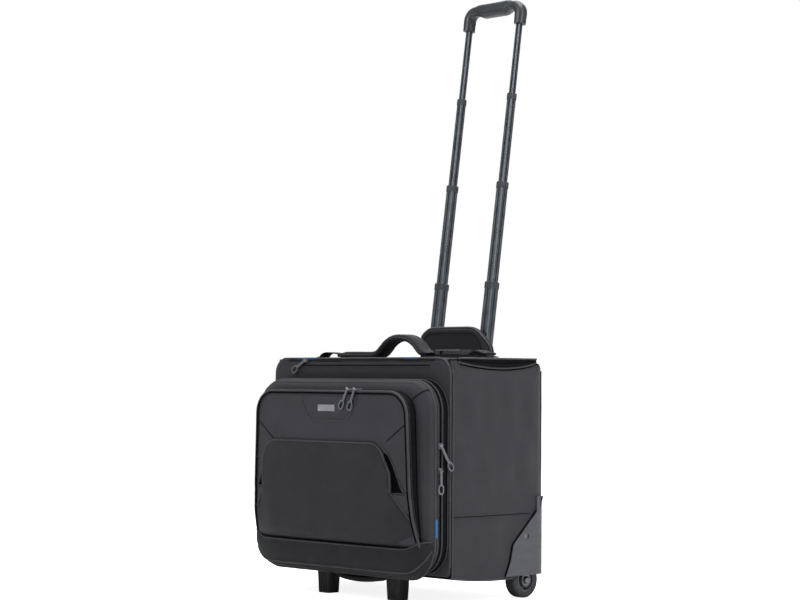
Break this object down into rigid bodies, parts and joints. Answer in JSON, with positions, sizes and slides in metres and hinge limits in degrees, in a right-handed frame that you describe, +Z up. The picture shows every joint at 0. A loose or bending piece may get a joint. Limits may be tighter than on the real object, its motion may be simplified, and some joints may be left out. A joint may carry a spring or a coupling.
{
  "type": "rolling laptop case",
  "caption": "Soft-sided rolling laptop case with a telescopic handle, opening front compartments, a hinged lid with carrying strap, corner wheels and standing feet.",
  "frame": {"origin": "on the ground, under the centre of the whole object's box with the handle pulled out", "axes": "+X to the case's right as seen from its front, -Y towards the front, +Z up"},
  "size_m": [0.4368, 0.4198, 1.0474],
  "materials": {
    "body_fabric": "woven polyester, matt",
    "lining_fabric": "plain lining",
    "padded_fabric": "padded polyester, matt",
    "webbing": "woven strap",
    "zip_tape": "coil zip tape",
    "blue_trim": "woven tab",
    "board": "fabric-covered board",
    "moulded_plastic": "fine grain",
    "buckle_plastic": "satin",
    "grip_plastic": "satin",
    "tyre_rubber": "matt",
    "tube_metal": "dark anodised",
    "steel": "bright",
    "zip_metal": "gunmetal",
    "badge_metal": "brushed"
  },
  "bodies": {
    "case": {"base_board": "board", "side_panel_left": "body_fabric", "side_panel_right": "body_fabric", "rear_panel": "body_fabric", "handle_housing": "body_fabric", "divider": "lining_fabric", "back_liner": "lining_fabric", "top_strips": "padded_fabric", "guard": "padded_fabric", "corner_bumpers": "moulded_plastic", "wheel_wells": "moulded_plastic", "feet": "moulded_plastic", "screws": "steel", "bottom_grab_handle": "padded_fabric", "outer_tubes": "tube_metal", "tube_bracket": "moulded_plastic", "socket_plate": "moulded_plastic", "wheel_axles": "steel"},
    "laptop_front": {"front_wall": "body_fabric", "laptop_zip": "zip_tape", "zip_end_tabs": "blue_trim", "organizer_gusset": "body_fabric", "organizer_zip": "zip_tape"},
    "organizer": {"organizer_cover": "body_fabric", "bottom_band": "body_fabric", "side_tag": "blue_trim"},
    "front_pocket": {"front_pocket_cover": "body_fabric", "slip_pocket": "body_fabric", "badge_plate": "badge_metal", "pocket_zip": "zip_tape"},
    "laptop_slider": {"laptop_slider": "zip_metal"},
    "laptop_pull": {"laptop_pull": "zip_metal"},
    "organizer_slider_upper": {"organizer_slider_upper": "zip_metal"},
    "organizer_pull_upper": {"organizer_pull_upper": "zip_metal"},
    "organizer_slider_lower": {"organizer_slider_lower": "zip_metal"},
    "organizer_pull_lower": {"organizer_pull_lower": "zip_metal"},
    "pocket_slider_left": {"pocket_slider_left": "zip_metal"},
    "pocket_pull_left": {"pocket_pull_left": "zip_metal"},
    "pocket_slider_right": {"pocket_slider_right": "zip_metal"},
    "pocket_pull_right": {"pocket_pull_right": "zip_metal"},
    "lid": {"lid_panel": "padded_fabric", "grab_strap": "webbing", "grab_pad": "padded_fabric", "buckle_socket": "buckle_plastic", "buckle_plug": "buckle_plastic"},
    "stage_4": {"stage_4_tubes": "tube_metal", "stage_4_collars": "moulded_plastic"},
    "stage_3": {"stage_3_tubes": "tube_metal", "stage_3_collars": "moulded_plastic"},
    "stage_2": {"stage_2_tubes": "tube_metal", "stage_2_collars": "moulded_plastic"},
    "stage_1": {"stage_1_tubes": "tube_metal", "grip": "grip_plastic"},
    "grip_button": {"grip_button": "grip_plastic"},
    "wheel_left": {"tyre_left": "tyre_rubber", "hub_left": "moulded_plastic", "bearings_left": "steel"},
    "wheel_right": {"tyre_right": "tyre_rubber", "hub_right": "moulded_plastic", "bearings_right": "steel"}
  },
  "joints": [
    {"name": "laptop_front_hinge", "type": "hinge", "parent": "case", "child": "laptop_front", "pos_m": [0, -0.13266, 0.046], "axis": [1, 0, 0], "range_deg": [0, 20]},
    {"name": "organizer_hinge", "type": "hinge", "parent": "laptop_front", "child": "organizer", "pos_m": [0, -0.15716, 0.05], "axis": [1, 0, 0], "range_deg": [0, 35]},
    {"name": "front_pocket_hinge", "type": "hinge", "parent": "organizer", "child": "front_pocket", "pos_m": [0, -0.19566, 0.093], "axis": [1, 0, 0], "range_deg": [0, 20]},
    {"name": "laptop_slider_run", "type": "slide", "parent": "laptop_front", "child": "laptop_slider", "axis": [1, 0, 0], "range_m": [-0.03, 0.29]},
    {"name": "laptop_pull_swing", "type": "hinge", "parent": "laptop_slider", "child": "laptop_pull", "pos_m": [-0.133, -0.14086, 0.3965], "axis": [-0.515, 0, 0.8572], "range_deg": [0, 100]},
    {"name": "organizer_slider_upper_run", "type": "slide", "parent": "laptop_front", "child": "organizer_slider_upper", "axis": [0, 0, 1], "range_m": [-0.01, 0.05]},
    {"name": "organizer_pull_upper_swing", "type": "hinge", "parent": "organizer_slider_upper", "child": "organizer_pull_upper", "pos_m": [0.2166, -0.15541, 0.258], "axis": [0, -0.8387, -0.5446], "range_deg": [0, 100]},
    {"name": "organizer_slider_lower_run", "type": "slide", "parent": "laptop_front", "child": "organizer_slider_lower", "axis": [0, 0, 1], "range_m": [-0.11, 0.01]},
    {"name": "organizer_pull_lower_swing", "type": "hinge", "parent": "organizer_slider_lower", "child": "organizer_pull_lower", "pos_m": [0.2166, -0.15541, 0.218], "axis": [0, -1, 0], "range_deg": [0, 100]},
    {"name": "pocket_slider_left_run", "type": "slide", "parent": "front_pocket", "child": "pocket_slider_left", "axis": [1, 0, 0], "range_m": [-0.17, 0]},
    {"name": "pocket_pull_left_swing", "type": "hinge", "parent": "pocket_slider_left", "child": "pocket_pull_left", "pos_m": [0.05, -0.20796, 0.3485], "axis": [-0.8746, 0, 0.4848], "range_deg": [0, 100]},
    {"name": "pocket_slider_right_run", "type": "slide", "parent": "front_pocket", "child": "pocket_slider_right", "axis": [1, 0, 0], "range_m": [0, 0.07]},
    {"name": "pocket_pull_right_swing", "type": "hinge", "parent": "pocket_slider_right", "child": "pocket_pull_right", "pos_m": [0.067, -0.20796, 0.3485], "axis": [-0.9272, 0, 0.3746], "range_deg": [0, 100]},
    {"name": "lid_hinge", "type": "hinge", "parent": "case", "child": "lid", "pos_m": [0, 0.07434, 0.393], "axis": [-1, 0, 0], "range_deg": [0, 75]},
    {"name": "wheel_left_spin", "type": "hinge", "parent": "case", "child": "wheel_left", "pos_m": [-0.191, 0.06234, 0.03], "axis": [1, 0, 0], "continuous": true},
    {"name": "wheel_right_spin", "type": "hinge", "parent": "case", "child": "wheel_right", "pos_m": [0.191, 0.06234, 0.03], "axis": [1, 0, 0], "continuous": true},
    {"name": "stage_4_slide", "type": "slide", "parent": "case", "child": "stage_4", "axis": [0, 0.1438, 0.9896], "range_m": [-0.118, 0]},
    {"name": "stage_3_slide", "type": "slide", "parent": "stage_4", "child": "stage_3", "axis": [0, 0.1438, 0.9896], "range_m": [-0.166, 0]},
    {"name": "stage_2_slide", "type": "slide", "parent": "stage_3", "child": "stage_2", "axis": [0, 0.1438, 0.9896], "range_m": [-0.147, 0]},
    {"name": "stage_1_slide", "type": "slide", "parent": "stage_2", "child": "stage_1", "axis": [0, 0.1438, 0.9896], "range_m": [-0.125, 0]},
    {"name": "grip_button_press", "type": "slide", "parent": "stage_1", "child": "grip_button", "axis": [0, -0.1438, -0.9896], "range_m": [0, 0.003], "stiffness_N_per_m": 400, "springref_m": -0.001}
  ]
}
